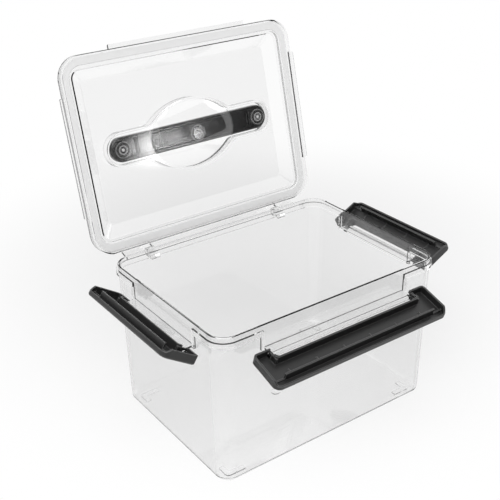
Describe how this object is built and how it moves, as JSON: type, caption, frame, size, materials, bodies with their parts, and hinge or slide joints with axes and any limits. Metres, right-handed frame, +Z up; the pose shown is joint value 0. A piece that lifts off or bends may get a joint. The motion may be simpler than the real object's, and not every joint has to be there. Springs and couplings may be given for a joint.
{
  "type": "latching storage box",
  "caption": "Clear deep storage box with a hinged sealed lid, three swinging side latches and a fixed carry handle set in the lid.",
  "frame": {"origin": "on the floor, at the middle of the tub's base", "axes": "+X to the right along the hinge, +Y towards the hinge at the back, +Z up"},
  "size_m": [0.3982, 0.3541, 0.4069],
  "materials": {
    "clear_plastic": "clear moulded plastic",
    "clear_lid_plastic": "clear moulded plastic",
    "seal_rubber": "soft pale grey rubber",
    "handle_plastic": "fine black grain",
    "latch_plastic": "fine black grain",
    "screw_steel": "plain steel"
  },
  "bodies": {
    "tub_body": {"tub": "clear_plastic"},
    "lid_body": {"lid": "clear_lid_plastic", "lid_seal": "seal_rubber", "carry_handle": "handle_plastic", "handle_screws": "screw_steel"},
    "front_latch_body": {"front_latch": "latch_plastic"},
    "left_latch_body": {"left_latch": "latch_plastic"},
    "right_latch_body": {"right_latch": "latch_plastic"}
  },
  "joints": [
    {"name": "lid_hinge", "type": "hinge", "parent": "tub_body", "child": "lid_body", "pos_m": [0, 0.121, 0.1747], "axis": [1, 0, 0], "range_deg": [0, 103.5]},
    {"name": "front_latch_pivot", "type": "hinge", "parent": "tub_body", "child": "front_latch_body", "pos_m": [0, -0.1213, 0.1563], "axis": [-1, 0, 0], "range_deg": [0, 107.5]},
    {"name": "left_latch_pivot", "type": "hinge", "parent": "tub_body", "child": "left_latch_body", "pos_m": [-0.1633, -0.0027, 0.1563], "axis": [0, 1, 0], "range_deg": [-51, 56.5]},
    {"name": "right_latch_pivot", "type": "hinge", "parent": "tub_body", "child": "right_latch_body", "pos_m": [0.1633, -0.0027, 0.1563], "axis": [0, -1, 0], "range_deg": [-44, 63.5]}
  ]
}
